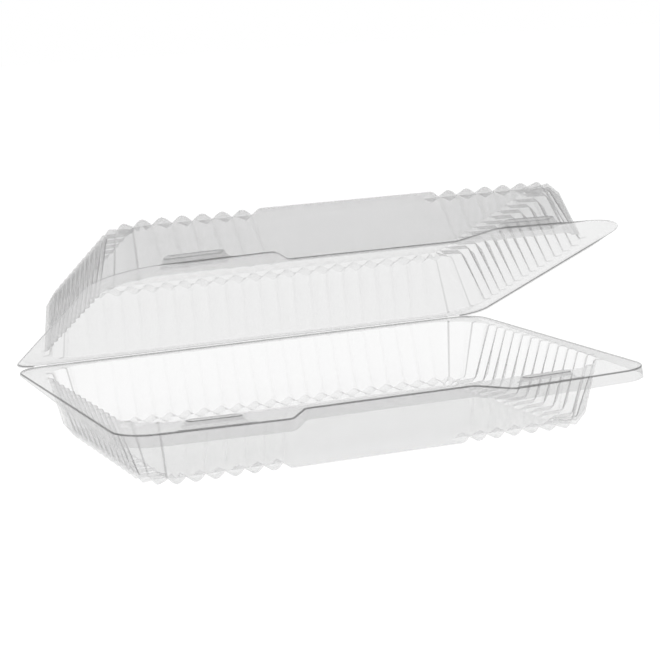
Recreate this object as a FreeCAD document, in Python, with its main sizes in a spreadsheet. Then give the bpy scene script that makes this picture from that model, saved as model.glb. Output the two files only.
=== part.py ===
"""Clear thermoformed clamshell pack: a fluted tray and a fluted lid on one living hinge.

Frame: X runs along the hinge, Y from the front (-) to the hinge (+), Z up.
The origin is on the underside of the tray's floor, midway along the pack and
midway between the hinge and the straight line of the front rim's ends.
Lengths are in millimetres and angles in degrees.
"""
import FreeCAD, Part
import math
import os

Vector = FreeCAD.Vector

# Driving dimensions: alias, value, meaning
SIZES = [
    ("rim_length", 300.0, "length of the tray's rim along the hinge"),
    ("hinge_place", 108.0, "distance of the fold from the frame's centre"),
    ("rim_width", 205.0, "from the fold to the middle of the front rim"),
    ("hinge_end", 20.0, "from each end of the rim to the end of the living hinge"),
    ("side_flange", 10.1, "flange beside each end wall"),
    ("back_flange", 10.1, "flange between the back wall and the fold"),
    ("front_flange", 7.1, "flange in front of the smooth front panel"),
    ("base_corner_radius", 20.0, "corner radius of the floor and of the lid's top"),
    ("sheet_thickness", 0.3, "thickness of the formed sheet"),
    ("tray_height", 35.5, "height of the tray's flange"),
    ("tray_draft", 12.4, "how far the tray's walls lean out over their height"),
    ("lid_height", 34.2, "height of the lid above its flange"),
    ("lid_draft", 11.0, "lean of the lid's back and end walls"),
    ("lid_front_draft", 15.0, "lean of the lid's front wall"),
    ("flutes_per_end", 11, "flutes on the straight part of each end wall"),
    ("flutes_at_back", 20, "flutes on the straight part of the back wall"),
    ("flutes_at_front", 5, "flutes on each side of the smooth front panel"),
    ("flutes_per_corner", 3, "flutes round each corner"),
    ("flute_depth", 3.3, "depth of the grooves at the floor"),
    ("flute_depth_at_rim", 2.0, "depth of the grooves at the flange"),
    ("panel_half_width", 49.0, "half the width of the smooth front panel"),
    ("panel_edge_run", 5.0, "from the panel's edge to its first groove"),
    ("band_width", 14.0, "how far the grooves run in under the floor"),
    ("ridge_run", 2.0, "run of the steep end of each floor ridge"),
    ("ridge_height", 3.0, "height of each floor ridge at its steep end"),
    ("crest_bevel_run", 5.5, "how far the bevel at the foot of each crest leans out"),
    ("crest_bevel_rise", 7.0, "height of the bevel at the foot of each crest"),
    ("ear_projection", 19.5, "how far the ears stand out past the middle of the front rim"),
    ("ear_taper", 7.0, "how much less the ears stand out at the corners"),
    ("ear_inner", 62.0, "where each ear begins, from the centre"),
    ("ear_ramp", 14.0, "run of the ramp between the ear and the middle"),
    ("back_corner_radius", 16.0, "rim corner beside the hinge"),
    ("front_corner_radius", 20.0, "front corner of the tray's rim"),
    ("lid_corner_radius", 35.0, "front corner of the lid's rim, cut back for the thumb"),
    ("ear_radius", 6.0, "rounding where the ramp meets the ear"),
    ("tab_radius", 5.0, "rounding where the ramp meets the middle"),
    ("skirt_drop", 6.5, "height of the tray's turned-down edge at the front"),
    ("skirt_drop_at_hinge", 1.2, "height of both turned-down edges beside the hinge"),
    ("lid_skirt_drop", 1.4, "height of the lid's turned edge at the front"),
    ("lid_skirt_ramp", 8.0, "run over which the lid's turned edge dies out before its corners"),
    ("skirt_flare", 0.6, "how far the tray's turned-down edge leans out at the front"),
    ("lip_flare", 0.5, "how far the lid's turned edge leans out at the front"),
    ("rim_gap", 0.5, "running gap between the two turned-down edges"),
    ("flange_gap", 0.3, "gap between the closed flanges"),
    ("hinge_gap", 0.3, "gap at the fold, where the sheet bends"),
    ("hinge_lip", 1.3, "height of the crease lip beside the fold"),
    ("latch_left", 49.0, "centre of the left latch bar, from the rim's left end"),
    ("latch_right", 65.5, "centre of the right latch bar, from the rim's right end"),
    ("latch_length", 34.5, "length of a tray latch bar at its foot"),
    ("latch_depth", 9.0, "depth of a tray latch bar at its foot"),
    ("latch_height", 4.2, "height of a tray latch bar"),
    ("latch_draft", 1.5, "lean of a latch bar's ends and sides"),
    ("latch_inset", 1.0, "from the rim's edge to the foot of a tray latch bar"),
    ("latch_gap", 0.35, "gap between nested latch bars"),
    ("lid_angle", 21.4, "opening of the lid in degrees"),
]

# Arc steps for a quarter turn of the rim's outline
ARC_STEPS = 6


def make_sheet(document):
    """Write every driving dimension to its own named cell."""
    sheet = document.addObject("Spreadsheet::Sheet", "Sizes")
    for row, (alias, value, meaning) in enumerate(SIZES, start=1):
        sheet.set("A%d" % row, meaning)
        sheet.set("B%d" % row, str(value))
        sheet.setAlias("B%d" % row, alias)
    document.recompute()
    return sheet


def round_corners(corners):
    """Closed outline through (x, y, radius) corners: an arc at each, or a point where the radius is 0."""
    outline = []
    count = len(corners)
    for index, (x, y, radius) in enumerate(corners):
        here = Vector(x, y, 0)
        if radius == 0:
            outline.append(here)
            continue
        before = Vector(*corners[index - 1][:2], 0) - here
        after = Vector(*corners[(index + 1) % count][:2], 0) - here
        before.normalize()
        after.normalize()
        half = before.getAngle(after) / 2
        reach = radius / math.tan(half)
        middle = (before + after).normalize()
        centre = here + middle * (radius / math.sin(half))
        start = here + before * reach - centre
        end = here + after * reach - centre
        sweep = start.getAngle(end)
        steps = max(2, round(ARC_STEPS * sweep / (math.pi / 2)))
        for step in range(steps + 1):
            share = step / steps
            first = math.sin((1 - share) * sweep) / math.sin(sweep)
            second = math.sin(share * sweep) / math.sin(sweep)
            outline.append(centre + start * first + end * second)
    return outline


def grow(outline, distance):
    """Move a closed counter-clockwise outline outwards; distance is one number or one a point."""
    grown = []
    count = len(outline)
    for index, point in enumerate(outline):
        shift = distance[index] if isinstance(distance, list) else distance
        back = (point - outline[index - 1]).normalize()
        ahead = (outline[(index + 1) % count] - point).normalize()
        normal = Vector(back.y + ahead.y, -back.x - ahead.x, 0)
        normal.normalize()
        spread = normal.dot(Vector(ahead.y, -ahead.x, 0))
        grown.append(point + normal * (shift / spread))
    return grown


def rim_outline(sizes, corner_radius):
    """Counter-clockwise plan of a rim: straight at the fold, with two ears in front."""
    half = sizes.rim_length / 2
    fold = sizes.hinge_place - sizes.hinge_gap / 2
    tab_front = sizes.hinge_place - sizes.rim_width
    ear_front = -sizes.ear_projection + tab_front
    corner_front = ear_front + sizes.ear_taper
    tab_half = sizes.ear_inner - sizes.ear_ramp
    ramp_x = half - sizes.lid_corner_radius - sizes.lid_skirt_ramp
    ramp_y = ear_front + sizes.ear_taper * (ramp_x - sizes.ear_inner) / (half - sizes.ear_inner)
    right = [
        (tab_half, tab_front, sizes.tab_radius),
        (sizes.ear_inner, ear_front, sizes.ear_radius),
        (ramp_x, ramp_y, 0),
        (half, corner_front, corner_radius),
        (half, fold, sizes.back_corner_radius),
    ]
    left = [(-x, y, radius) for x, y, radius in reversed(right)]
    return round_corners(right + left), fold


def profiles(sizes, height, draft):
    """Crest and groove lines in section: (outward reach from the floor's edge, height)."""
    thin = sizes.sheet_thickness
    run, rise = sizes.crest_bevel_run, sizes.crest_bevel_rise
    lean = (draft - run) / (height - rise)
    crest = [
        (-sizes.band_width, 0.0),
        (-sizes.band_width + sizes.ridge_run, 0.0),
        (0.0, 0.0),
        (run, rise),
        (draft - lean * thin, height - thin),
    ]
    foot = (run / 2 - sizes.flute_depth, rise / 2)
    groove = [
        (-sizes.band_width, 0.0),
        (-sizes.band_width + sizes.ridge_run, sizes.ridge_height),
        foot,
        foot,
        (draft - sizes.flute_depth_at_rim - lean * thin, height - thin),
    ]
    return crest, groove


def inner_profile(profile, thickness, height):
    """The same line on the inner face of the sheet; it starts on the floor and ends at the flange."""
    path = [(profile[0][0] - 1.0, 0.0)]
    for point in profile:
        if point != path[-1]:
            path.append(point)
    moved = {}
    for before, here, after in zip(path, path[1:], path[2:]):
        first = Vector(here[0] - before[0], here[1] - before[1], 0).normalize()
        second = Vector(after[0] - here[0], after[1] - here[1], 0).normalize()
        normal = Vector(-first.y - second.y, first.x + second.x, 0).normalize()
        spread = normal.dot(Vector(-first.y, first.x, 0))
        moved[here] = (here[0] + normal.x * thickness / spread, here[1] + normal.y * thickness / spread)
    before, here = path[-2], path[-1]
    run, rise = here[0] - before[0], here[1] - before[1]
    length = math.hypot(run, rise)
    up_to_flange = (height - here[1] - run / length * thickness) / rise
    moved[here] = (here[0] - rise / length * thickness + run * up_to_flange, height)
    return [moved[point] for point in profile]


def flute_stations(sizes, draft, front_draft):
    """Points round the floor's edge, as (corner centre or edge point, outward normal, kind)."""
    half = sizes.rim_length / 2 - sizes.side_flange - draft
    back = sizes.hinge_place - sizes.back_flange - draft
    front = sizes.hinge_place - sizes.rim_width + sizes.front_flange + front_draft
    radius = sizes.base_corner_radius
    stations = []

    def straight(start, end, normal, flutes):
        for step in range(1, 2 * flutes + 1):
            place = start + (end - start) * (step / (2 * flutes))
            stations.append((place, normal, "crest" if step % 2 else "groove"))

    def corner(centre, first_angle):
        flutes = int(sizes.flutes_per_corner)
        for step in range(1, 2 * flutes + 1):
            angle = math.radians(first_angle + 90.0 * step / (2 * flutes))
            normal = Vector(math.cos(angle), math.sin(angle), 0)
            stations.append((centre + normal * radius, normal, "crest" if step % 2 else "groove"))

    groove_start = sizes.panel_half_width + sizes.panel_edge_run
    side_x, back_y, front_y = half - radius, back - radius, front + radius
    down, right = Vector(0, -1, 0), Vector(1, 0, 0)
    stations.append((Vector(sizes.panel_half_width, front, 0), down, "crest"))
    stations.append((Vector(groove_start, front, 0), down, "groove"))
    straight(Vector(groove_start, front, 0), Vector(side_x, front, 0), down, int(sizes.flutes_at_front))
    corner(Vector(side_x, front_y, 0), -90)
    straight(Vector(half, front_y, 0), Vector(half, back_y, 0), right, int(sizes.flutes_per_end))
    corner(Vector(side_x, back_y, 0), 0)
    straight(Vector(side_x, back, 0), Vector(-side_x, back, 0), -down, int(sizes.flutes_at_back))
    corner(Vector(-side_x, back_y, 0), 90)
    straight(Vector(-half, back_y, 0), Vector(-half, front_y, 0), -right, int(sizes.flutes_per_end))
    corner(Vector(-side_x, front_y, 0), 180)
    straight(Vector(-side_x, front, 0), Vector(-groove_start, front, 0), down, int(sizes.flutes_at_front))
    stations.append((Vector(-sizes.panel_half_width, front, 0), down, "crest"))
    return stations


def wall_rings(stations, lines, front_lines):
    """Rings of points round the bowl, one for each level of the crest and groove lines.

    lines holds the sections of the ends and the back, and front_lines those of the front.
    Round the front corners the points go over from the one to the other.
    """
    rings = []
    for level in range(len(lines["crest"])):
        ring = []
        for place, normal, kind in stations:
            reach, rise = lines[kind][level]
            front_reach, front_rise = front_lines[kind][level] if normal.y < 0 else (reach, rise)
            shift = Vector(normal.x * reach, normal.y * front_reach, 0)
            shift.z = rise + (front_rise - rise) * normal.y ** 2
            ring.append(place + shift)
        rings.append(ring)
    return rings


def bowl_rings(sizes, height, draft, front_draft):
    """The rings of the bowl's outer skin and of its inner skin."""
    stations = flute_stations(sizes, draft, front_draft)
    outer, inner = [], []
    for lean_out in (draft, front_draft):
        crest, groove = profiles(sizes, height, lean_out)
        inner_crest = inner_profile(crest, sizes.sheet_thickness, height)
        inner_groove = inner_profile(groove, sizes.sheet_thickness, height)
        inner_crest[0] = inner_groove[0]
        outer.append({"crest": crest, "groove": groove})
        inner.append({"crest": inner_crest, "groove": inner_groove})
    return wall_rings(stations, *outer), wall_rings(stations, *inner)


def triangle(first, second, third):
    """One flat facet, or nothing where two of its corners meet."""
    if (second - first).cross(third - first).Length < 1e-9:
        return []
    return [Part.Face(Part.makePolygon([first, second, third, first]))]


def strip(lower, upper):
    """Facets between two rings, each split from the lower crest to the upper groove."""
    faces = []
    count = len(lower)
    for index in range(count):
        after = (index + 1) % count
        a, b, c, d = lower[index], lower[after], upper[after], upper[index]
        if index % 2 == 0:
            faces += triangle(a, b, c) + triangle(a, c, d)
        else:
            faces += triangle(a, b, d) + triangle(b, c, d)
    return faces


def flat_face(*rings):
    """A flat face bounded by the first ring, with the others as holes."""
    wires = [Part.makePolygon(ring + ring[:1]) for ring in rings]
    return Part.makeFace(wires, "Part::FaceMakerBullseye")


def at_height(outline, rise):
    """Lift a flat outline to a height, or to one height a point."""
    heights = rise if isinstance(rise, list) else [rise] * len(outline)
    return [Vector(point.x, point.y, height) for point, height in zip(outline, heights)]


def tray_drops(sizes, outline, fold):
    """Height of the tray's turned-down edge at each point of its rim: it grows towards the front."""
    depth = fold - min(point.y for point in outline)
    growth = (sizes.skirt_drop - sizes.skirt_drop_at_hinge) / depth
    return [
        sizes.sheet_thickness if point.y > fold - 1e-6
        else sizes.skirt_drop_at_hinge + growth * (fold - point.y)
        for point in outline
    ]


def lid_drops(sizes, outline, fold):
    """Height of the lid's turned edge: low at the sides, none round the front corners."""
    ramp_x = sizes.rim_length / 2 - sizes.lid_corner_radius - sizes.lid_skirt_ramp
    ear_front = sizes.hinge_place - sizes.rim_width - sizes.ear_projection
    side_y = ear_front + sizes.ear_taper + sizes.lid_corner_radius
    drops = []
    for point in outline:
        if point.y > fold - 1e-6:
            drops.append(sizes.sheet_thickness)
        elif point.y > side_y:
            drops.append(sizes.skirt_drop_at_hinge)
        elif abs(point.x) < ramp_x + sizes.lid_skirt_ramp / 2:
            drops.append(sizes.lid_skirt_drop)
        else:
            drops.append(sizes.sheet_thickness)
    return drops


def formed_sheet(sizes, height, rings, outline, drops, flare, turned_up):
    """A fluted bowl with its flange and the turned edge of its rim, standing on its floor.

    The tray's edge turns back down beside its walls. The lid is made as a bowl too and
    is turned over afterwards, so its edge turns up here, away from its walls.
    """
    thin = sizes.sheet_thickness
    outer, inner = rings
    leans = [flare * (drop - thin) / (max(drops) - thin) for drop in drops]
    turn = 1.0 if turned_up else -1.0
    full_height = height - thin if turned_up else height
    short_height = height if turned_up else height - thin
    ends = [full_height + turn * drop for drop in drops]
    rim_outer = at_height(outline, full_height)
    rim_end_outer = at_height(grow(outline, leans), ends)
    rim_end_inner = at_height(grow(outline, [lean - thin for lean in leans]), ends)
    rim_inner = at_height(grow(outline, -thin), short_height)

    faces = [flat_face(outer[0]), flat_face(inner[0])]
    for rings in (outer, inner):
        for lower, upper in zip(rings, rings[1:]):
            faces += strip(lower, upper)
    full_hole, short_hole = (outer[-1], inner[-1]) if turned_up else (inner[-1], outer[-1])
    faces.append(flat_face(rim_outer, full_hole))
    faces.append(flat_face(rim_inner, short_hole))
    edge_rings = [rim_outer, rim_end_outer, rim_end_inner, rim_inner]
    for lower, upper in zip(edge_rings, edge_rings[1:]):
        faces += strip(lower, upper)

    shell = Part.makeCompound(faces)
    shell.sewShape()
    solid = Part.makeSolid(shell.Shells[0])
    if solid.Volume < 0:
        solid.reverse()
    return solid.removeSplitter()


def add_latch(document, name, inset_name, margin, flange_top, sizes):
    """A latch bar's outer and hollow forms as drafted blocks on an ear of the rim.

    margin is how much larger than the tray's bar its outer form is on every side. The hollow
    form reaches down through the flange, so that the bar is open underneath.
    """
    half = "(Sizes.latch_length / 2 + %s)" % margin
    deep = "(Sizes.latch_depth / 2 + %s)" % margin
    top = "(Sizes.latch_height + %s)" % margin
    thin = "Sizes.sheet_thickness"
    side = "-" if inset_name == "latch_left" else ""
    reach = "(Sizes.rim_length / 2 - Sizes.%s)" % inset_name
    slope = "(Sizes.ear_taper / (Sizes.rim_length / 2 - Sizes.ear_inner))"
    centre_y = (
        "Sizes.hinge_place - Sizes.rim_width - Sizes.ear_projection + Sizes.latch_inset"
        " + Sizes.latch_depth / 2 + (%s - Sizes.ear_inner) * %s" % (reach, slope)
    )
    forms = []
    for part, inset, foot in (("Outer", "0", "-" + thin), ("Hollow", thin, "-2 * " + thin)):
        block = document.addObject("Part::Wedge", name + part)
        for end, sign in (("min", "-"), ("max", "")):
            block.setExpression("X" + end, "%s(%s - %s)" % (sign, half, inset))
            block.setExpression("X2" + end, "%s(%s - %s - Sizes.latch_draft)" % (sign, half, inset))
            block.setExpression("Z" + end, "%s(%s - %s)" % (sign, deep, inset))
            block.setExpression("Z2" + end, "%s(%s - %s - Sizes.latch_draft)" % (sign, deep, inset))
        block.setExpression("Ymin", foot)
        block.setExpression("Ymax", "%s - %s" % (top, inset))
        block.setExpression("Placement.Base.x", side + reach)
        block.setExpression("Placement.Base.y", centre_y)
        block.setExpression("Placement.Base.z", flange_top)
        angle = math.degrees(math.atan(sizes.ear_taper / (sizes.rim_length / 2 - sizes.ear_inner)))
        tilt = FreeCAD.Rotation(Vector(0, 0, 1), -angle if inset_name == "latch_left" else angle)
        upright = FreeCAD.Rotation(Vector(1, 0, 0), 90)
        block.Placement.Rotation = tilt.multiply(upright)
        forms.append(block)
    return forms


def add_hinge_lip(document, name, low_edge):
    """The crease lip along the fold: a thin upright strip as long as the hinge."""
    lip = document.addObject("Part::Box", name)
    lip.setExpression("Length", "Sizes.rim_length - 2 * Sizes.hinge_end")
    lip.setExpression("Width", "Sizes.sheet_thickness")
    lip.setExpression("Height", "Sizes.hinge_lip")
    lip.setExpression("Placement.Base.x", "-Sizes.rim_length / 2 + Sizes.hinge_end")
    lip.setExpression(
        "Placement.Base.y", "Sizes.hinge_place - Sizes.hinge_gap / 2 - Sizes.sheet_thickness"
    )
    lip.setExpression("Placement.Base.z", low_edge)
    return lip


def assemble_half(document, label, sheet_shape, flange_top, margin, lip_low_edge, sizes):
    """Join the formed sheet, its two latch bars and its crease lip, and open the bars underneath."""
    formed = document.addObject("Part::Feature", label + "_formed")
    formed.Shape = sheet_shape
    left = add_latch(document, label + "LatchLeft", "latch_left", margin, flange_top, sizes)
    right = add_latch(document, label + "LatchRight", "latch_right", margin, flange_top, sizes)
    lip = add_hinge_lip(document, label + "HingeLip", lip_low_edge)
    joined = document.addObject("Part::MultiFuse", label + "_joined")
    joined.Shapes = [formed, left[0], right[0], lip]
    joined.Refine = False
    hollows = document.addObject("Part::MultiFuse", label + "_hollows")
    hollows.Shapes = [left[1], right[1]]
    half = document.addObject("Part::Cut", label)
    half.Base = joined
    half.Tool = hollows
    half.Refine = False
    half.Label = label
    return half


def build_tray(document, sizes):
    """The tray: floor at the origin's height, flange and turned-down edge at the top."""
    outline, fold = rim_outline(sizes, sizes.front_corner_radius)
    rings = bowl_rings(sizes, sizes.tray_height, sizes.tray_draft, sizes.tray_draft)
    drops = tray_drops(sizes, outline, fold)
    shape = formed_sheet(sizes, sizes.tray_height, rings, outline, drops, sizes.skirt_flare, False)
    return assemble_half(
        document, "tray", shape, "Sizes.tray_height", "0", "Sizes.tray_height - Sizes.hinge_lip", sizes
    )


def build_lid(document, sizes):
    """The lid: made over the closed tray, then opened about the fold."""
    outline, fold = rim_outline(sizes, sizes.lid_corner_radius)
    wide = grow(outline, sizes.rim_gap + sizes.sheet_thickness)
    wide = [Vector(point.x, min(point.y, fold), 0) for point in wide]
    rings = bowl_rings(sizes, sizes.lid_height, sizes.lid_draft, sizes.lid_front_draft)
    drops = lid_drops(sizes, wide, fold)
    bowl = formed_sheet(sizes, sizes.lid_height, rings, wide, drops, sizes.lip_flare, True)
    level = sizes.tray_height + sizes.flange_gap + sizes.lid_height
    turned = bowl.mirror(Vector(0, 0, 0), Vector(0, 0, 1))
    turned.translate(Vector(0, 0, level))
    flange_face = "Sizes.tray_height + Sizes.flange_gap"
    lid = assemble_half(
        document, "lid", turned, flange_face + " + Sizes.sheet_thickness",
        "Sizes.latch_gap + Sizes.sheet_thickness", flange_face, sizes
    )
    axis_point = Vector(0, sizes.hinge_place, sizes.tray_height + sizes.flange_gap / 2)
    opening = FreeCAD.Rotation(Vector(-1, 0, 0), sizes.lid_angle)
    lid.Placement = FreeCAD.Placement(Vector(0, 0, 0), opening, axis_point)
    return lid


def main():
    document = FreeCAD.newDocument("ClamshellPack")
    sizes = make_sheet(document)
    nodes = [build_tray(document, sizes), build_lid(document, sizes)]
    document.recompute()
    for item in document.Objects:
        if "Invalid" in item.State or "Error" in item.State:
            raise RuntimeError("%s failed to compute" % item.Label)
    for node in nodes:
        shape = node.Shape
        if shape.isNull() or not shape.isValid() or len(shape.Solids) != 1:
            raise RuntimeError("%s is not one sound solid" % node.Label)
    os.makedirs("parts", exist_ok=True)
    for node in nodes:
        box = node.Shape.BoundBox
        print(
            "%s: volume %.0f mm3, faces %d, x %.1f..%.1f, y %.1f..%.1f, z %.2f..%.2f"
            % (node.Label, node.Shape.Volume, len(node.Shape.Faces),
               box.XMin, box.XMax, box.YMin, box.YMax, box.ZMin, box.ZMax)
        )
        node.Shape.exportStep("parts/%s.step" % node.Label)


main()
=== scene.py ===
"""Looks of the clear hinged clamshell pack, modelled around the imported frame.

Each half is one thin formed sheet: a fluted bowl, a flange with two hollow snap bars and a
turned edge. It is modelled as a bowl standing on its floor. The lid is then turned over and
opened about the fold. Sizes are the CAD model's, in millimetres; meshes are made in metres.
"""
import math

import bpy
import numpy as np
from mathutils import Matrix, Vector
from mathutils.geometry import delaunay_2d_cdt


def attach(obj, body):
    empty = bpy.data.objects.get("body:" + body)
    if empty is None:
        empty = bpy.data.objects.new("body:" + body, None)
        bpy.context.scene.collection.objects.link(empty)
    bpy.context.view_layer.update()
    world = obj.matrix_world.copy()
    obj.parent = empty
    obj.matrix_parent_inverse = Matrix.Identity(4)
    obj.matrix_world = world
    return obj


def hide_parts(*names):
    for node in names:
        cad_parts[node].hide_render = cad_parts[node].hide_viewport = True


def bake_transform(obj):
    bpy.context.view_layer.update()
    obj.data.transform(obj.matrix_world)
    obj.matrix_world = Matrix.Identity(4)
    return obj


# Rim
RIM_LENGTH = 300.0
HINGE_PLACE = 108.0
RIM_WIDTH = 205.0
HINGE_END = 20.0
HINGE_GAP = 0.3
SIDE_FLANGE, BACK_FLANGE, FRONT_FLANGE = 10.1, 10.1, 7.1
EAR_PROJECTION, EAR_TAPER, EAR_INNER, EAR_RAMP = 19.5, 7.0, 62.0, 14.0
EAR_RADIUS, TAB_RADIUS, BACK_CORNER = 6.0, 5.0, 16.0
TRAY_CORNER, LID_CORNER = 20.0, 35.0
RIM_GAP, FLANGE_GAP = 0.5, 0.3
FLAT_BESIDE_FOLD, FOLD_RADIUS, FOLD_SAMPLES = 0.8, 0.7, 5
RIM_SPACING, RIM_TURN_STEP = 5, 6

# Sheet and bowls
MM = 0.001
THIN = 0.3
FLOOR_SPACING = 11.0
TRAY_HEIGHT, TRAY_DRAFT = 35.5, 12.4
LID_HEIGHT, LID_DRAFT, LID_FRONT_DRAFT = 34.2, 11.0, 15.0
CORNER_RADIUS = 20.0
FLUTES_AT_END, FLUTES_AT_BACK, FLUTES_AT_FRONT, FLUTES_AT_CORNER = 11, 20, 5, 3
FLUTE_DEPTH, FLUTE_DEPTH_AT_RIM = 3.3, 2.0
PANEL_HALF, PANEL_EDGE = 49.0, 5.0
BAND_WIDTH, RIDGE_RUN, RIDGE_HEIGHT = 14.0, 2.0, 3.0
BEVEL_RUN, BEVEL_RISE = 5.5, 7.0
WALL_TOP_RUN = 2.2

# Turned edges
TRAY_SKIRT, TRAY_SKIRT_FLARE = 6.5, 0.6
LID_SKIRT, LID_SKIRT_RAMP, LID_SKIRT_FLARE = 1.4, 8.0, 0.5
SKIRT_AT_HINGE, LID_LIP = 1.2, 0.4
LID_SIDE_RAMP = 20.0

# Snap bars
LATCH_INSETS = {"left": 49.0, "right": 65.5}
LATCH_LENGTH, LATCH_DEPTH, LATCH_HEIGHT = 34.5, 9.0, 4.2
LATCH_INSET, LATCH_GAP = 1.0, 0.35
BAR_FLAT = (-1.2, -1.2, 0.0, 2.8)
BAR_FOOT_RADIUS, BAR_FOOT_CORNER, BAR_FOOT_TURNS = 0.6, 2.6, (0.0, 0.35, 0.7, 1.0)
BAR_TOP_RADIUS, BAR_TOP_CORNER, BAR_TOP_TURNS = 2.2, 2.4, (0.0, 0.2, 0.4, 0.6, 0.8, 1.0)
BAR_END_LEAN, BAR_END_ROUND = 1.6, 2.4
BAR_SIDE_LEAN, BAR_SIDE_ROUND = 0.9, 1.2
BAR_CORNER_SAMPLES = 7

# Living hinge
STRIP_RADIUS, STRIP_GAUGE, STRIP_OFFSET, STRIP_REACH = 0.5, 0.12, 0.4, 0.4
STRIP_COLUMNS, STRIP_TURNS = 55, 9

# Tones: how white the floor glows by itself, its paint, and the studio's backdrop, room and ceiling
FLOOR_GLOW, FLOOR_PAINT = 0.9, 0.2
BACKDROP, ROOM, CEILING = 1.0, 0.68, 0.45
BACKDROP_SIDE = (0.379, 0.925, 0.0)

# How the clear sheet's milky gloss grows with the slant at which it is seen
SLANT_POWER = 3.0

LID_ANGLE = math.radians(21.4)
AXIS_HEIGHT = TRAY_HEIGHT + FLANGE_GAP / 2

# Places of the samples across one flute, from groove (-1) over the crest (0) to groove (1)
FLUTE_STEPS = (-0.92, -0.78, -0.55, -0.28, 0.0, 0.28, 0.55, 0.78, 0.92, 1.0)
ARC_SAMPLES, PANEL_SAMPLES = 4, 9

# The back wall's flutes are soft waves that fill most of their depth
SOFT_LOW, SOFT_HALF = 0.2, 0.4

# Painted shade: the strips of the turned edge and of a snap bar, from the inside and from the foot,
# take darker materials that paint the dark lines a bend in clear sheet shows as it refracts light.
# Creases are the grooves' bottoms at the ends and corners, painted dark the same way; the skirt
# strips and bar walls take the lid's darker, shaded copy of the sheet.
LOOKS = ("sheet", "edge", "painted_crease_shade", "painted_shade_band")
RIM_PAINTED_SHADE = {2: "edge", 3: "edge", 4: "edge", 5: "painted_shade_band"}
BAR_PAINTED_SHADE = {4: "painted_shade_band", 5: "painted_shade_band", 6: "painted_shade_band", 8: "edge"}
CREASE_SHADE_START, CREASE_SHADE_SIDES = 0.9, 0.45


def unit(vector):
    return vector / np.linalg.norm(vector)


def flute_walk(draft, front_draft):
    """Samples round the floor's edge: rows of x, y, outward normal x and y, place in the flute."""
    half = RIM_LENGTH / 2 - SIDE_FLANGE - draft
    back = HINGE_PLACE - BACK_FLANGE - draft
    front = HINGE_PLACE - RIM_WIDTH + FRONT_FLANGE + front_draft
    side_x, back_y, front_y = half - CORNER_RADIUS, back - CORNER_RADIUS, front + CORNER_RADIUS
    groove = PANEL_HALF + PANEL_EDGE
    rows = []

    def straight(start, end, normal, flutes):
        for flute in range(flutes):
            for step in FLUTE_STEPS:
                share = (flute + (step + 1) / 2) / flutes
                x = start[0] + (end[0] - start[0]) * share
                y = start[1] + (end[1] - start[1]) * share
                rows.append((x, y, *normal, step))

    def corner(x, y, first):
        for flute in range(FLUTES_AT_CORNER):
            for step in FLUTE_STEPS:
                angle = math.radians(first + 90 * (flute + (step + 1) / 2) / FLUTES_AT_CORNER)
                across, along = math.cos(angle), math.sin(angle)
                place = (x + across * CORNER_RADIUS, y + along * CORNER_RADIUS)
                rows.append((*place, across, along, step))

    edge = [step for step in FLUTE_STEPS if step > 0]
    rows += [(-PANEL_HALF - PANEL_EDGE * step, front, 0, -1, -step) for step in reversed(edge[:-1])]
    rows += [(x, front, 0, -1, 0.0) for x in np.linspace(-PANEL_HALF, PANEL_HALF, PANEL_SAMPLES)]
    rows += [(PANEL_HALF + PANEL_EDGE * step, front, 0, -1, step) for step in edge]
    straight((groove, front), (side_x, front), (0, -1), FLUTES_AT_FRONT)
    corner(side_x, front_y, -90)
    straight((half, front_y), (half, back_y), (1, 0), FLUTES_AT_END)
    corner(side_x, back_y, 0)
    straight((side_x, back), (-side_x, back), (0, 1), FLUTES_AT_BACK)
    corner(-side_x, back_y, 90)
    straight((-half, back_y), (-half, front_y), (-1, 0), FLUTES_AT_END)
    corner(-side_x, front_y, 180)
    straight((-side_x, front), (-groove, front), (0, -1), FLUTES_AT_FRONT)
    return np.array(rows)


def rounded_line(points, radii, samples):
    """A section line whose inner corners are arcs, each with its own radius and sample count."""
    points = [np.array(point, float) for point in points]
    line = [points[0]]
    for before, here, after, radius, count in zip(points, points[1:], points[2:], radii, samples):
        back, ahead = before - here, after - here
        room = 0.48 * min(np.linalg.norm(back), np.linalg.norm(ahead))
        back, ahead = unit(back), unit(ahead)
        half = math.acos(np.clip(back @ ahead, -1, 1)) / 2
        reach = min(radius / max(math.tan(half), 1e-3), room) if half < 1.55 else min(radius, room)
        for share in np.linspace(0, 1, count):
            line.append(
                (1 - share) ** 2 * (here + back * reach)
                + 2 * share * (1 - share) * here
                + share ** 2 * (here + ahead * reach)
            )
    line.append(points[-1])
    return np.array(line)


def section_lines(height, draft):
    """Crest and groove lines from the floor to the flange, sample by sample alike."""
    top = height - THIN
    lean = (draft - BEVEL_RUN) / (height - BEVEL_RISE)
    start, edge, ridge = (-BAND_WIDTH - 2, 0), (-BAND_WIDTH, 0), -BAND_WIDTH + RIDGE_RUN
    crest_top = (draft - lean * THIN, top)
    groove_top = (crest_top[0] - FLUTE_DEPTH_AT_RIM, top)
    end = (draft + WALL_TOP_RUN, top)
    few, many = ARC_SAMPLES, ARC_SAMPLES * 2
    crest = rounded_line(
        [start, edge, (ridge, 0), (0, 0), (BEVEL_RUN, BEVEL_RISE), crest_top, end],
        [0.3, 0.3, 0.9, 1.4, 1.0], [few, few, few, few, few],
    )
    foot = (BEVEL_RUN / 2 - FLUTE_DEPTH, BEVEL_RISE / 2)
    groove = rounded_line(
        [start, edge, (ridge, RIDGE_HEIGHT), foot, groove_top, end],
        [0.3, 0.5, 0.9, 1.0], [few, few, many, few],
    )
    roundness = np.clip((np.arange(len(crest)) - few) / few, 0, 1)
    return crest, groove, roundness


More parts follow.
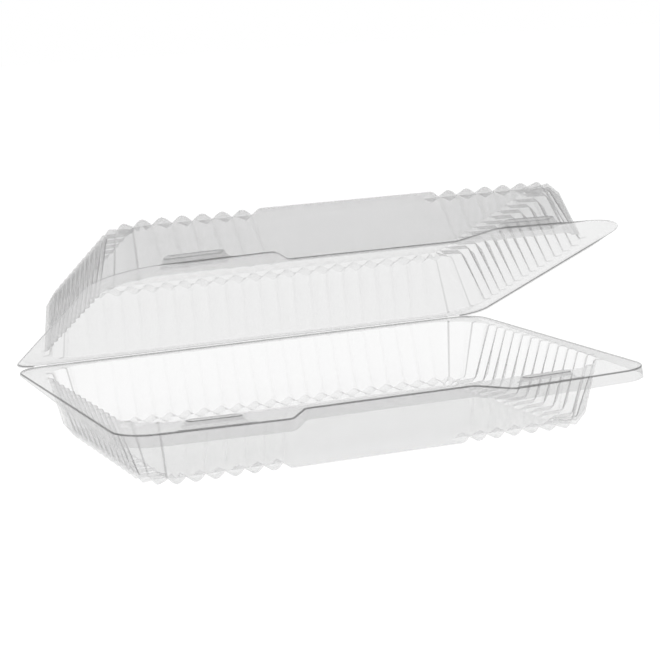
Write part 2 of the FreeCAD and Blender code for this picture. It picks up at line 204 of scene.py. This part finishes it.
def bowl_rings(height, draft, front_draft):
    """Rings of points round the bowl's outer skin, from the floor's edge up to the flange."""
    walk = flute_walk(draft, front_draft)
    side = section_lines(height, draft)
    front = section_lines(height, front_draft)
    straight_wave = 1 - np.abs(walk[:, 4])
    round_wave = np.cos(np.pi / 2 * walk[:, 4])
    soft = np.clip(walk[:, 3] * 2, 0, 1)
    soft_wave = SOFT_LOW + SOFT_HALF * (1 + np.cos(np.pi * walk[:, 4]))
    round_wave += (soft_wave - round_wave) * soft
    toward_front = np.where(walk[:, 3] < 0, walk[:, 3] ** 2, 0.0)
    rings = []
    for level in range(len(side[0])):
        wave = straight_wave + (round_wave - straight_wave) * side[2][level]
        reach = {}
        rise = {}
        for name, (crest, groove, _) in (("side", side), ("front", front)):
            reach[name] = groove[level][0] + (crest[level][0] - groove[level][0]) * wave
            rise[name] = groove[level][1] + (crest[level][1] - groove[level][1]) * wave
        front_reach = np.where(walk[:, 3] < 0, reach["front"], reach["side"])
        x = walk[:, 0] + walk[:, 2] * reach["side"]
        y = walk[:, 1] + walk[:, 3] * front_reach
        z = rise["side"] + (rise["front"] - rise["side"]) * toward_front
        rings.append(np.column_stack([x, y, z]))
    return rings


def rim_outline(corner_radius, margin):
    """Plan of a rim, counter-clockwise, as rows of x, y and the outward normal."""
    half = RIM_LENGTH / 2
    fold = HINGE_PLACE - HINGE_GAP / 2
    tab_front = HINGE_PLACE - RIM_WIDTH
    ear_front = tab_front - EAR_PROJECTION
    right = [
        (EAR_INNER - EAR_RAMP, tab_front, TAB_RADIUS),
        (EAR_INNER, ear_front, EAR_RADIUS),
        (half, ear_front + EAR_TAPER, corner_radius),
        (half, fold, BACK_CORNER),
    ]
    corners = right + [(-x, y, radius) for x, y, radius in reversed(right)]
    points = []
    count = len(corners)
    for index, (x, y, radius) in enumerate(corners):
        here = np.array((x, y))
        back = unit(np.array(corners[index - 1][:2]) - here)
        ahead = unit(np.array(corners[(index + 1) % count][:2]) - here)
        half_angle = math.acos(back @ ahead) / 2
        reach = radius / math.tan(half_angle)
        centre = here + unit(back + ahead) * radius / math.sin(half_angle)
        start, end = here + back * reach - centre, here + ahead * reach - centre
        sweep = math.pi - 2 * half_angle
        steps = max(4, round(math.degrees(sweep) / RIM_TURN_STEP))
        for step in range(steps + 1):
            share = step / steps
            first = math.sin((1 - share) * sweep) / math.sin(sweep)
            second = math.sin(share * sweep) / math.sin(sweep)
            points.append(centre + start * first + end * second)
    dense = []
    for index, point in enumerate(points):
        after = points[(index + 1) % len(points)]
        pieces = max(1, int(np.linalg.norm(after - point) // RIM_SPACING))
        dense += [point + (after - point) * piece / pieces for piece in range(pieces)]
    outline = np.array(dense)
    ahead = np.roll(outline, -1, axis=0) - outline
    ahead /= np.linalg.norm(ahead, axis=1)[:, None]
    back = np.roll(ahead, 1, axis=0)
    normal = np.column_stack([ahead[:, 1] + back[:, 1], -ahead[:, 0] - back[:, 0]])
    normal /= np.linalg.norm(normal, axis=1)[:, None]
    outline = outline + normal * margin
    outline[:, 1] = np.minimum(outline[:, 1], fold)
    return np.column_stack([outline, normal])


def tray_drops(outline):
    """Height of the tray's turned-down edge at each point: it grows towards the front."""
    fold = HINGE_PLACE - HINGE_GAP / 2
    depth = fold - outline[:, 1].min()
    drops = SKIRT_AT_HINGE + (TRAY_SKIRT - SKIRT_AT_HINGE) * (fold - outline[:, 1]) / depth
    return np.where(outline[:, 1] > fold - 1e-6, THIN, drops)


def lid_drops(outline):
    """Height of the lid's turned edge: low at the sides, lowest round the front corners."""
    fold = HINGE_PLACE - HINGE_GAP / 2
    ramp_end = RIM_LENGTH / 2 - LID_CORNER
    side_y = HINGE_PLACE - RIM_WIDTH - EAR_PROJECTION + EAR_TAPER + LID_CORNER
    reach = np.clip((ramp_end - np.abs(outline[:, 0])) / LID_SKIRT_RAMP, 0, 1)
    front = LID_LIP + (LID_SKIRT - LID_LIP) * reach
    growth = np.clip((outline[:, 1] - side_y) / LID_SIDE_RAMP, 0, 1)
    side = LID_LIP + (SKIRT_AT_HINGE - LID_LIP) * growth
    drops = np.where(outline[:, 1] > side_y, side, front)
    return np.where(outline[:, 1] > fold - 1e-6, THIN, drops)


def edge_rings(outline, drops, flare, level, turn):
    """Rings of the rim's turned edge: flat, a small fold, then the leaning strip to its free end."""
    radius = np.minimum(FOLD_RADIUS, drops * 0.6)
    inner = outline[:, :2] - outline[:, 2:] * (radius + FLAT_BESIDE_FOLD)[:, None]
    rings = [np.column_stack([inner, np.full(len(outline), level)])]
    for share in np.linspace(0, 1, FOLD_SAMPLES):
        angle = share * math.pi / 2
        shift = radius * (math.sin(angle) - 1)
        drop = radius * (1 - math.cos(angle))
        rings.append(np.column_stack([
            outline[:, 0] + outline[:, 2] * shift,
            outline[:, 1] + outline[:, 3] * shift,
            level + turn * drop,
        ]))
    lean = flare * (drops - THIN) / (drops.max() - THIN)
    rings.append(np.column_stack([
        outline[:, 0] + outline[:, 2] * lean,
        outline[:, 1] + outline[:, 3] * lean,
        level + turn * drops,
    ]))
    return rings


def bar_rings(side, margin, level, rise):
    """Rings of a snap bar from its foot on the flange to its top; rise is 1 up or -1 down."""
    sign = -1 if side == "left" else 1
    reach = RIM_LENGTH / 2 - LATCH_INSETS[side]
    slope = EAR_TAPER / (RIM_LENGTH / 2 - EAR_INNER)
    ear_front = HINGE_PLACE - RIM_WIDTH - EAR_PROJECTION
    depth_place = ear_front + LATCH_INSET + LATCH_DEPTH / 2 + (reach - EAR_INNER) * slope
    centre = np.array((sign * reach, depth_place))
    angle = sign * math.atan(slope)
    along = np.array((math.cos(angle), math.sin(angle)))
    across = np.array((-along[1], along[0]))
    half_length, half_depth = LATCH_LENGTH / 2 + margin, LATCH_DEPTH / 2 + margin
    height = LATCH_HEIGHT + margin
    levels = [BAR_FLAT]
    for share in BAR_FOOT_TURNS:
        turn = share * math.pi / 2
        inset = -BAR_FOOT_RADIUS + BAR_FOOT_RADIUS * math.sin(turn)
        levels.append((inset, inset, BAR_FOOT_RADIUS * (1 - math.cos(turn)), BAR_FOOT_CORNER))
    for share in BAR_TOP_TURNS:
        turn = share * math.pi / 2
        end_run = BAR_END_LEAN + BAR_END_ROUND * (1 - math.cos(turn))
        side_run = BAR_SIDE_LEAN + BAR_SIDE_ROUND * (1 - math.cos(turn))
        drop = BAR_TOP_RADIUS - BAR_TOP_RADIUS * math.sin(turn)
        levels.append((end_run, side_run, height - drop, BAR_TOP_CORNER))
    rings = []
    for end_inset, side_inset, z, corner in levels:
        length, depth = half_length - end_inset, half_depth - side_inset
        corner = min(corner, depth - 0.1)
        ring = []
        for quarter, (cx, cy) in enumerate(((1, 1), (-1, 1), (-1, -1), (1, -1))):
            for share in np.linspace(0, 1, BAR_CORNER_SAMPLES):
                turn = (quarter + share) * math.pi / 2
                u = cx * (length - corner) + corner * math.cos(turn)
                v = cy * (depth - corner) + corner * math.sin(turn)
                ring.append(centre + along * u + across * v)
        rings.append(np.column_stack([np.array(ring), np.full(len(ring), level + rise * z)]))
    return rings


def inside(points, polygon):
    """Which 2-D points lie inside a closed polygon."""
    x, y = points[:, 0][:, None], points[:, 1][:, None]
    ax, ay = polygon[:, 0], polygon[:, 1]
    bx, by = np.roll(ax, -1), np.roll(ay, -1)
    crosses = (ay > y) != (by > y)
    with np.errstate(divide="ignore", invalid="ignore"):
        at = ax + (y - ay) * (bx - ax) / (by - ay)
    return (np.sum(crosses & (x < at), axis=1) % 2).astype(bool)


class SheetMesh:
    """Collects rings and faces of one formed sheet. Faces look outward from the bowl."""

    def __init__(self):
        self.points = []
        self.faces = []
        self.looks = {}

    def add_ring(self, ring):
        first = len(self.points)
        self.points += [tuple(point) for point in ring]
        return list(range(first, first + len(ring)))

    def bridge(self, lower, upper):
        count = len(lower)
        for index in range(count):
            after = (index + 1) % count
            self.faces.append((lower[index], lower[after], upper[after], upper[index]))

    def look(self, first, name):
        """Give the faces from the first on another look than plain sheet: a darker material that
        paints shade.
        """
        for face in range(first, len(self.faces)):
            self.looks[face] = name

    def fill(self, outer, holes, spacing=None):
        """Fill a flat region between rings, with a loose grid of points inside it if asked for."""
        ids = list(outer)
        loops = [outer] + holes
        for hole in holes:
            ids += hole
        flat = np.array([self.points[item][:2] for item in ids])
        level = self.points[outer[0]][2]
        edges = []
        first = 0
        for loop in loops:
            count = len(loop)
            edges += [(first + step, first + (step + 1) % count) for step in range(count)]
            first += count
        extra = np.zeros((0, 2))
        border = flat[:len(outer)]
        if spacing:
            low, high = border.min(axis=0), border.max(axis=0)
            xs = np.arange(low[0] + spacing / 2, high[0], spacing)
            ys = np.arange(low[1] + spacing / 2, high[1], spacing)
            grid = np.array([(x, y) for y in ys for x in xs])
            near = np.min(np.linalg.norm(grid[:, None] - border[None], axis=2), axis=1)
            extra = grid[inside(grid, border) & (near > spacing * 0.5)]
        coords = [Vector(point) for point in np.vstack([flat, extra])]
        found = delaunay_2d_cdt(coords, edges, [], 0, 1e-7, True)
        out_points, out_faces, origins = found[0], found[2], found[3]
        names = []
        for point, origin in zip(out_points, origins):
            if origin and origin[0] < len(ids):
                names.append(ids[origin[0]])
            else:
                names.append(len(self.points))
                self.points.append((point.x, point.y, level))
        corners = np.array([[out_points[item][:] for item in face] for face in out_faces])
        middle = corners.mean(axis=1)
        keep = inside(middle, border)
        first = len(outer)
        for hole in holes:
            keep &= ~inside(middle, flat[first:first + len(hole)])
            first += len(hole)
        for face, kept, shape in zip(out_faces, keep, corners):
            if not kept:
                continue
            one, two, three = shape[:3]
            along, across = two - one, three - one
            turn = along[0] * across[1] - along[1] * across[0]
            names_in_order = [names[item] for item in face]
            self.faces.append(tuple(names_in_order if turn < 0 else reversed(names_in_order)))


def formed_sheet(height, draft, front_draft, outline, drops, flare, turn, margin):
    """One half as a bowl on its floor. turn is -1 where the edge turns down and 1 where up."""
    sheet = SheetMesh()
    rings = [sheet.add_ring(ring) for ring in bowl_rings(height, draft, front_draft)]
    sheet.fill(rings[0], [], spacing=FLOOR_SPACING)
    walk = flute_walk(draft, front_draft)
    # Painted shade: the groove bottoms at the ends and corners are marked for the darker crease
    # material.
    ahead = np.roll(walk[:, 4], -1)
    crease_shade_faces = np.minimum(np.abs(walk[:, 4]), np.abs(ahead)) >= CREASE_SHADE_START
    crease_shade_faces &= np.abs(walk[:, 2]) > CREASE_SHADE_SIDES
    for ring, (lower, upper) in enumerate(zip(rings, rings[1:])):
        first = len(sheet.faces)
        sheet.bridge(lower, upper)
        if ring > 2 * ARC_SAMPLES:
            sheet.looks.update((first + int(item), "painted_crease_shade") for item in np.flatnonzero(crease_shade_faces))
    level = height - THIN
    edge = [sheet.add_ring(ring) for ring in edge_rings(outline, drops, flare, level, turn)]
    bars = []
    for side in LATCH_INSETS:
        bars.append([sheet.add_ring(ring) for ring in bar_rings(side, margin, level, -turn)])
    sheet.fill(edge[0], [rings[-1]] + [bar[0] for bar in bars])
    for step, (lower, upper) in enumerate(zip(edge, edge[1:])):
        first = len(sheet.faces)
        sheet.bridge(lower, upper)
        # Painted shade: the fold and the skirt strip take darker materials.
        if step in RIM_PAINTED_SHADE:
            sheet.look(first, RIM_PAINTED_SHADE[step])
    for bar in bars:
        for step, (lower, upper) in enumerate(zip(bar, bar[1:])):
            first = len(sheet.faces)
            sheet.bridge(upper, lower)
            # Painted shade: the bar walls and the bend at the top take darker materials.
            if step in BAR_PAINTED_SHADE:
                sheet.look(first, BAR_PAINTED_SHADE[step])
        sheet.fill(bar[-1], [])
    return sheet


def thin_piece(name, points, faces, materials, gauge, offset):
    """A smooth mesh object of the given points in metres, made solid to the given thickness."""
    mesh = bpy.data.meshes.new(name)
    mesh.from_pydata(points, [], faces)
    mesh.validate()
    mesh.update()
    for polygon in mesh.polygons:
        polygon.use_smooth = True
    for item in materials:
        mesh.materials.append(item)
    piece = bpy.data.objects.new(name, mesh)
    bpy.context.scene.collection.objects.link(piece)
    shell = piece.modifiers.new("sheet gauge", "SOLIDIFY")
    shell.thickness = gauge * MM
    shell.offset = offset
    shell.use_even_offset = False
    return piece


def sheet_piece(name, sheet, place, flipped, body, materials):
    """Turn a collected sheet into an object of real thickness that rides on a body."""
    moved = [place @ Vector(point) * MM for point in np.array(sheet.points)]
    faces = [tuple(reversed(face)) for face in sheet.faces] if flipped else sheet.faces
    piece = thin_piece(name, moved, faces, materials, THIN, -1.0)
    for polygon in piece.data.polygons:
        polygon.material_index = LOOKS.index(sheet.looks.get(polygon.index, "sheet"))
    # Painted shade: the solid's cut rims take the dark fold material.
    piece.modifiers[0].material_offset_rim = LOOKS.index("edge")
    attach(piece, body)
    return piece


def fold_strip(material):
    """The living hinge: a narrow strip that bends round behind the fold from tray to lid."""
    half = RIM_LENGTH / 2 - HINGE_END
    turns = np.radians(np.linspace(-90, 90, STRIP_TURNS))
    points, faces = [], []
    for x in np.linspace(-half, half, STRIP_COLUMNS):
        for turn in turns:
            y = HINGE_PLACE + STRIP_RADIUS * (math.cos(turn) - STRIP_OFFSET)
            z = AXIS_HEIGHT + STRIP_RADIUS * math.sin(turn)
            points.append((x * MM, y * MM, z * MM))
    for column in range(STRIP_COLUMNS - 1):
        for step in range(STRIP_TURNS - 1):
            first = column * STRIP_TURNS + step
            faces.append((first, first + STRIP_TURNS, first + STRIP_TURNS + 1, first + 1))
    strip = thin_piece("fold_strip", points, faces, [material], STRIP_GAUGE, 0.0)
    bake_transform(strip)


def clear_plastic(name, least, most, milk, tint):
    """Clear sheet that passes light straight on and has a milky gloss, stronger at a slant.

    least and most are the gloss's share face on and edge on, milk its own tone, and tint what the
    clear share passes.
    """
    material = bpy.data.materials.new(name)
    material.use_nodes = True
    nodes, links = material.node_tree.nodes, material.node_tree.links
    nodes.clear()
    output = nodes.new("ShaderNodeOutputMaterial")
    film = nodes.new("ShaderNodeBsdfPrincipled")
    film.inputs["Base Color"].default_value = (milk, milk, milk, 1)
    film.inputs["Roughness"].default_value = 0.12
    film.inputs["IOR"].default_value = 1.5
    passing = nodes.new("ShaderNodeBsdfTransparent")
    passing.inputs["Color"].default_value = (tint, tint, tint, 1)
    slant = nodes.new("ShaderNodeLayerWeight")
    slant.inputs["Blend"].default_value = 0.5
    curve = nodes.new("ShaderNodeMath")
    curve.operation = "POWER"
    curve.inputs[1].default_value = SLANT_POWER
    share = nodes.new("ShaderNodeMapRange")
    share.inputs["To Min"].default_value = least
    share.inputs["To Max"].default_value = most
    mix = nodes.new("ShaderNodeMixShader")
    links.new(slant.outputs["Facing"], curve.inputs[0])
    links.new(curve.outputs[0], share.inputs["Value"])
    links.new(share.outputs["Result"], mix.inputs["Fac"])
    links.new(passing.outputs[0], mix.inputs[1])
    links.new(film.outputs[0], mix.inputs[2])
    links.new(mix.outputs[0], output.inputs["Surface"])
    return material


def pale_floor():
    """A wide pale floor that reads as white to the camera and keeps a light shadow."""
    size = 6.0
    mesh = bpy.data.meshes.new("floor")
    corners = [(-size, -size, 0), (size, -size, 0), (size, size, 0), (-size, size, 0)]
    mesh.from_pydata(corners, [], [(0, 1, 2, 3)])
    floor = bpy.data.objects.new("floor", mesh)
    floor.location.z = -0.0002
    bpy.context.scene.collection.objects.link(floor)
    material = bpy.data.materials.new("floor")
    material.use_nodes = True
    nodes, links = material.node_tree.nodes, material.node_tree.links
    nodes.clear()
    output = nodes.new("ShaderNodeOutputMaterial")
    paint = nodes.new("ShaderNodeBsdfDiffuse")
    paint.inputs["Color"].default_value = (FLOOR_PAINT, FLOOR_PAINT, FLOOR_PAINT, 1)
    glow = nodes.new("ShaderNodeEmission")
    glow.inputs["Color"].default_value = (1, 1, 1, 1)
    glow.inputs["Strength"].default_value = FLOOR_GLOW
    add = nodes.new("ShaderNodeAddShader")
    links.new(paint.outputs[0], add.inputs[0])
    links.new(glow.outputs[0], add.inputs[1])
    links.new(add.outputs[0], output.inputs["Surface"])
    mesh.materials.append(material)


def soft_box(name, place, target, width, length, power):
    """A rectangular lamp that looks at a point; sizes are in metres."""
    light = bpy.data.lights.new(name, "AREA")
    light.shape = "RECTANGLE"
    light.size, light.size_y = width, length
    light.energy = power
    lamp = bpy.data.objects.new(name, light)
    lamp.location = place
    lamp.rotation_euler = (Vector(target) - Vector(place)).to_track_quat("-Z", "Y").to_euler()
    bpy.context.scene.collection.objects.link(lamp)


def studio_world():
    """A white backdrop behind the pack and a greyer room in front of it and above it."""
    world = bpy.data.worlds.new("studio")
    bpy.context.scene.world = world
    world.use_nodes = True
    nodes, links = world.node_tree.nodes, world.node_tree.links
    nodes.clear()
    output = nodes.new("ShaderNodeOutputWorld")
    place = nodes.new("ShaderNodeTexCoord")
    split = nodes.new("ShaderNodeSeparateXYZ")
    path = nodes.new("ShaderNodeLightPath")
    links.new(place.outputs["Generated"], split.inputs[0])

    def ramp(low, high, low_tone, high_tone, source):
        node = nodes.new("ShaderNodeMapRange")
        node.interpolation_type = "SMOOTHSTEP"
        node.inputs["From Min"].default_value = low
        node.inputs["From Max"].default_value = high
        node.inputs["To Min"].default_value = low_tone
        node.inputs["To Max"].default_value = high_tone
        links.new(source, node.inputs["Value"])
        return node.outputs["Result"]

    depth = nodes.new("ShaderNodeVectorMath")
    depth.operation = "DOT_PRODUCT"
    depth.inputs[1].default_value = BACKDROP_SIDE
    links.new(place.outputs["Generated"], depth.inputs[0])
    wall = ramp(-0.4, 0.5, ROOM, BACKDROP, depth.outputs["Value"])
    height = ramp(0.25, 0.75, 1.0, 0.0, split.outputs["Z"])
    blend = nodes.new("ShaderNodeMix")
    blend.inputs["A"].default_value = CEILING
    links.new(height, blend.inputs["Factor"])
    links.new(wall, blend.inputs["B"])
    room = nodes.new("ShaderNodeBackground")
    links.new(blend.outputs["Result"], room.inputs["Strength"])
    white = nodes.new("ShaderNodeBackground")
    for background in (room, white):
        background.inputs["Color"].default_value = (1, 1, 1, 1)
    mix = nodes.new("ShaderNodeMixShader")
    links.new(path.outputs["Is Camera Ray"], mix.inputs["Fac"])
    links.new(room.outputs[0], mix.inputs[1])
    links.new(white.outputs[0], mix.inputs[2])
    links.new(mix.outputs[0], output.inputs["Surface"])


def photo_camera():
    """The photograph's camera, from a fit to the pack's own points."""
    data = bpy.data.cameras.new("camera")
    data.sensor_fit = "HORIZONTAL"
    data.sensor_width = 36.0
    data.lens = 113.216
    data.clip_end = 20.0
    camera = bpy.data.objects.new("camera", data)
    camera.location = (-0.419847, -1.066432, 0.252305)
    camera.rotation_euler = [math.radians(turn) for turn in (80.29446, 2.93206, -22.28501)]
    bpy.context.scene.collection.objects.link(camera)
    bpy.context.scene.camera = camera


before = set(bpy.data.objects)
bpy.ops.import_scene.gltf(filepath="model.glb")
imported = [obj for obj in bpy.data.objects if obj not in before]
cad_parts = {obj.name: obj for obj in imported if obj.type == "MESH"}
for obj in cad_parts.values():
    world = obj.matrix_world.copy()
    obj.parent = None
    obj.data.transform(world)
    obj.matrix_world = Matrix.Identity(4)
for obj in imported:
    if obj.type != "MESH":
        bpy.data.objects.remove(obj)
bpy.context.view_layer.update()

scene = bpy.context.scene
scene.view_settings.view_transform = "Standard"
scene.cycles.max_bounces = 32
scene.cycles.transmission_bounces = 32
scene.cycles.transparent_max_bounces = 48
scene.cycles.glossy_bounces = 8

photo_camera()
studio_world()
pale_floor()
soft_box("key_left", (-1.2, -0.6, 1.3), (0, 0, 0.05), 0.9, 1.2, 7.0)
soft_box("fill_right", (1.4, -0.3, 1.1), (0, 0, 0.05), 0.8, 1.2, 4.0)
soft_box("back_top", (0.1, 1.3, 1.2), (0, 0, 0.05), 1.4, 0.7, 5.0)

# The tray's and the lid's sheets are one clear plastic: the tray's copy is the sheet as lit, the
# lid's a darker copy as painted shade.
tray_plastic = clear_plastic("tray_clear_sheet", 0.07, 0.55, 0.92, 0.968)
painted_shade_sheet_plastic = clear_plastic("clear_sheet_painted_shade", 0.11, 0.5, 0.85, 0.925)
# Painted shade: a dark copy of the sheet for folds and cut edges, standing in for how bends in clear
# sheet refract light.
painted_fold_shade_plastic = clear_plastic("clear_painted_fold_shade", 0.45, 0.95, 0.2, 0.8)
# Painted shade: a darker copy of the sheet for the groove bottoms at the ends and corners.
painted_crease_shade_plastic = clear_plastic("clear_painted_crease_shade", 0.14, 0.9, 0.4, 0.9)
tray_rim = rim_outline(TRAY_CORNER, -THIN)
tray = formed_sheet(
    TRAY_HEIGHT, TRAY_DRAFT, TRAY_DRAFT, tray_rim, tray_drops(tray_rim), TRAY_SKIRT_FLARE, -1, -THIN
)
tray_piece = sheet_piece(
    "tray_sheet", tray, Matrix.Identity(4), False, "tray",
    # The skirt and bar-wall slot holds the lid's darker copy: painted shade on the tray too.
    [tray_plastic, painted_fold_shade_plastic, painted_crease_shade_plastic, painted_shade_sheet_plastic],
)
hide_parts("tray")

lid_rim = rim_outline(LID_CORNER, RIM_GAP + THIN)
lid = formed_sheet(
    LID_HEIGHT, LID_DRAFT, LID_FRONT_DRAFT, lid_rim, lid_drops(lid_rim), LID_SKIRT_FLARE, 1,
    LATCH_GAP + THIN,
)
top = TRAY_HEIGHT + FLANGE_GAP + LID_HEIGHT
turned = Matrix.Translation((0, 0, top)) @ Matrix.Diagonal((1, 1, -1, 1))
axis = Vector((0, HINGE_PLACE, AXIS_HEIGHT))
opened = Matrix.Translation(axis) @ Matrix.Rotation(-LID_ANGLE, 4, "X") @ Matrix.Translation(-axis)
lid_piece = sheet_piece(
    "lid_sheet", lid, opened @ turned, True, "lid",
    [painted_shade_sheet_plastic, painted_fold_shade_plastic, painted_crease_shade_plastic, painted_shade_sheet_plastic],
)
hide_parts("lid")

fold_strip(tray_plastic)
